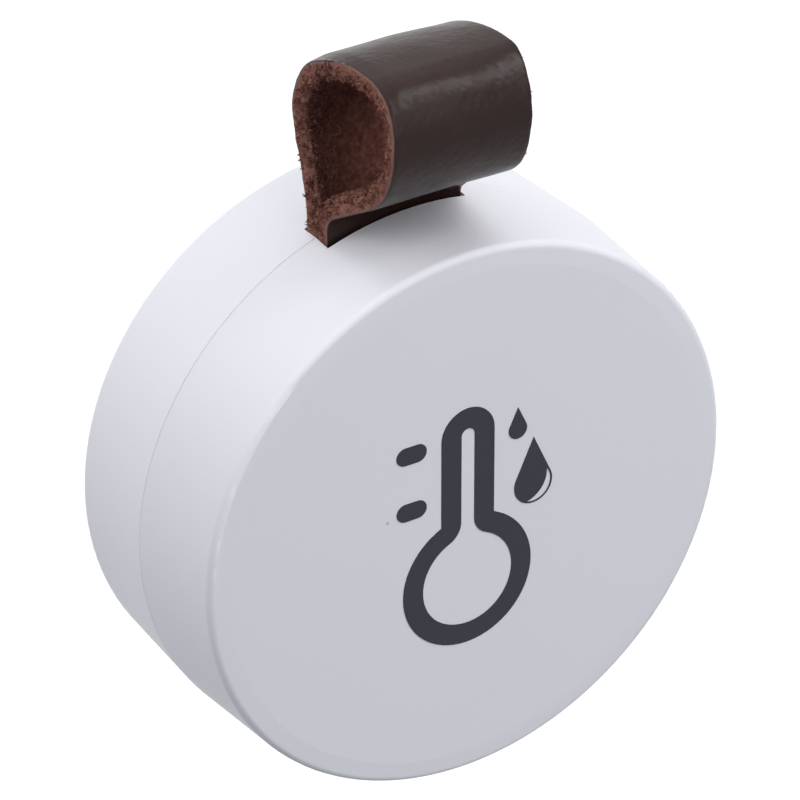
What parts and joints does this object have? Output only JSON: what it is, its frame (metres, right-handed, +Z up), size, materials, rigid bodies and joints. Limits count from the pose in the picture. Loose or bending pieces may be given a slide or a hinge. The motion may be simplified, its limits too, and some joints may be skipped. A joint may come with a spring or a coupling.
{
  "type": "temperature humidity sensor",
  "caption": "Round white room sensor for temperature and humidity with a dark thermometer print, a pull-off rear shell over a coin cell and a leather hanging loop.",
  "frame": {"origin": "middle of the flat rear face", "axes": "+Y out of the rear face, +Z up towards the hanging loop, +X to the right seen from the front; the face with the print looks to -Y"},
  "size_m": [0.04, 0.0178, 0.053],
  "materials": {
    "case_white": "satin",
    "print_dark": "matte",
    "leather_brown": "satin",
    "board_green": "satin",
    "screw_steel": "satin",
    "chip_black": "matte",
    "crystal_metal": "satin",
    "track_gold": "satin",
    "led_white": "gloss",
    "capacitor_tan": "satin",
    "resistor_black": "satin",
    "switch_black": "satin",
    "switch_metal": "satin",
    "holder_black": "satin",
    "contact_nickel": "satin",
    "cell_steel": "satin",
    "gasket_clear": "satin",
    "electrode_grey": "matte"
  },
  "bodies": {
    "case": {"front_shell": "case_white", "front_icon": "print_dark", "strap_tail": "leather_brown", "circuit_board": "board_green", "board_screws": "screw_steel", "radio_chip": "chip_black", "crystal": "crystal_metal", "trace_antenna": "track_gold", "humidity_sensor": "chip_black", "status_led": "led_white", "capacitors": "capacitor_tan", "resistors": "resistor_black", "switch_body": "switch_black", "switch_frame": "switch_metal", "switch_dome": "switch_metal", "switch_leads": "switch_metal", "battery_holder": "holder_black", "positive_contact": "contact_nickel", "negative_contact": "contact_nickel", "coin_cell_can": "cell_steel", "coin_cell_cap": "cell_steel", "coin_cell_gasket": "gasket_clear", "coin_cell_core": "electrode_grey"},
    "rear_cover": {"rear_shell": "case_white"},
    "loop": {"strap_loop": "leather_brown"},
    "button": {"switch_plunger": "switch_black"}
  },
  "joints": [
    {"name": "rear_cover_pull", "type": "slide", "parent": "case", "child": "rear_cover", "axis": [0, 1, 0], "range_m": [0, 0.02]},
    {"name": "loop_tilt", "type": "hinge", "parent": "case", "child": "loop", "pos_m": [-0.00155, -0.008, 0.0209], "axis": [1, 0, 0], "range_deg": [-50, 20], "stiffness_Nm_per_rad": 0.05},
    {"name": "button_press", "type": "slide", "parent": "case", "child": "button", "axis": [0, -1, 0], "range_m": [0, 0.00025], "stiffness_N_per_m": 6400, "deforming": ["switch_dome"]}
  ]
}
